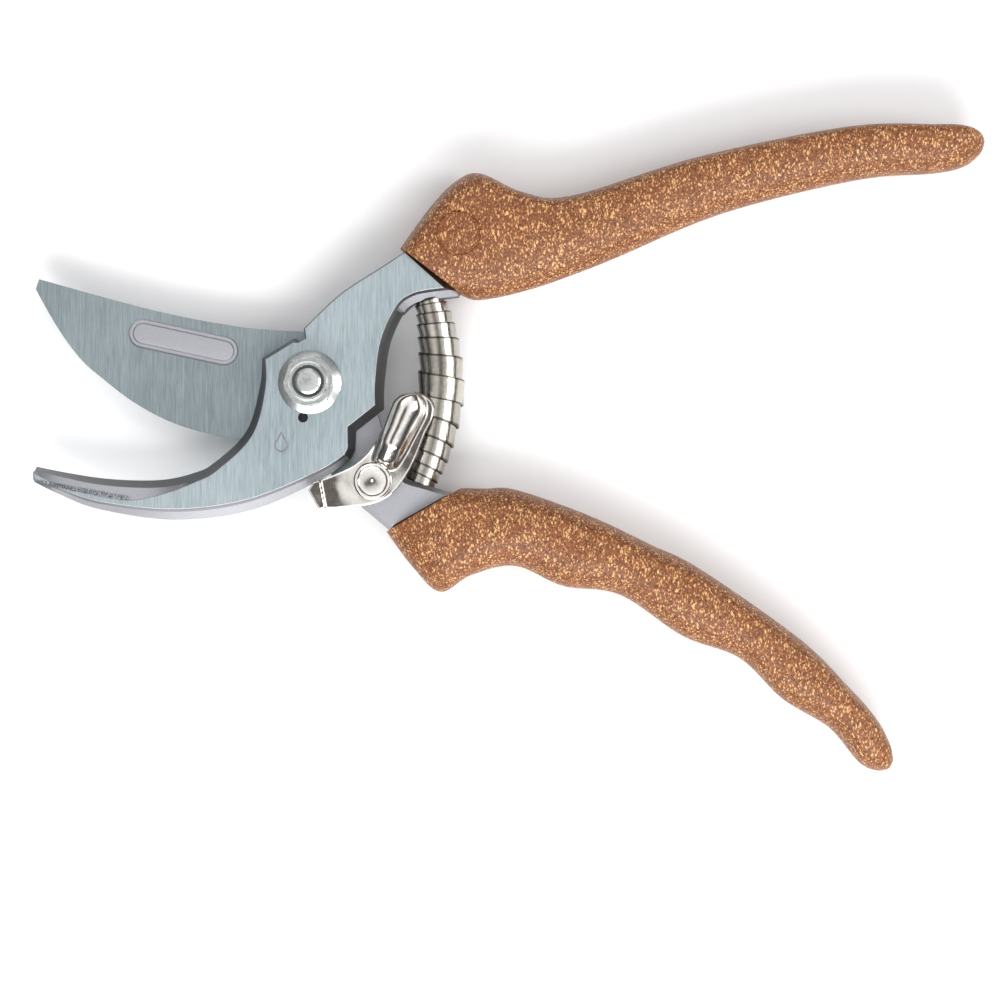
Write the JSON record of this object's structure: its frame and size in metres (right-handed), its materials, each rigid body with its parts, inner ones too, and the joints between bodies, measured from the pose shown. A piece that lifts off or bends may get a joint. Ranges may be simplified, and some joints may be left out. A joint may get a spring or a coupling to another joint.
{
  "type": "pruning shears",
  "caption": "Bypass pruning shears with a curved cutting blade, hooked counter blade, cork composite grips, volute spring and a thumb latch.",
  "frame": {"origin": "on the pivot axis, at the outer flat face of the pivot bolt's head on the tool's back", "axes": "+Z along the pivot axis towards the nut, +X from the jaws towards the handles, +Y towards the side of the open cutting blade"},
  "size_m": [0.2076, 0.1414, 0.0202],
  "materials": {
    "ground_steel": "ground flat faces with satin forged edges",
    "cork_compound": "matt speckled cork and wood composite",
    "zinc_plate": "bright zinc plating",
    "nickel_plate": "bright nickel plating",
    "nylon": "dark grey nylon",
    "bronze": "plain bearing bronze"
  },
  "bodies": {
    "hook_side": {"hook_lever": "ground_steel", "upper_grip": "cork_compound", "pivot_bolt": "zinc_plate", "pivot_nut": "zinc_plate", "nut_lock_ring": "nylon", "pivot_spring_washer": "zinc_plate", "pivot_bush": "bronze", "upper_spring_pin": "zinc_plate", "volute_spring": "nickel_plate"},
    "blade_side": {"blade_lever": "ground_steel", "lower_grip": "cork_compound", "latch_rivet": "nickel_plate", "latch_spring_washer": "zinc_plate", "lower_spring_pin": "zinc_plate"},
    "latch": {"latch_lever": "nickel_plate"}
  },
  "joints": [
    {"name": "cut", "type": "hinge", "parent": "hook_side", "child": "blade_side", "pos_m": [0, 0, 0.0085], "axis": [0, 0, 1], "range_deg": [0, 38], "stiffness_Nm_per_rad": 2, "springref_deg": -14.32, "deforming": ["volute_spring"]},
    {"name": "latch_turn", "type": "hinge", "parent": "blade_side", "child": "latch", "pos_m": [0.0137, -0.0214, 0.0145], "axis": [0, 0, 1], "range_deg": [-38, 0]}
  ],
  "couplings": [
    {"joint": "latch_turn", "follows": "cut", "ratio": -1}
  ]
}
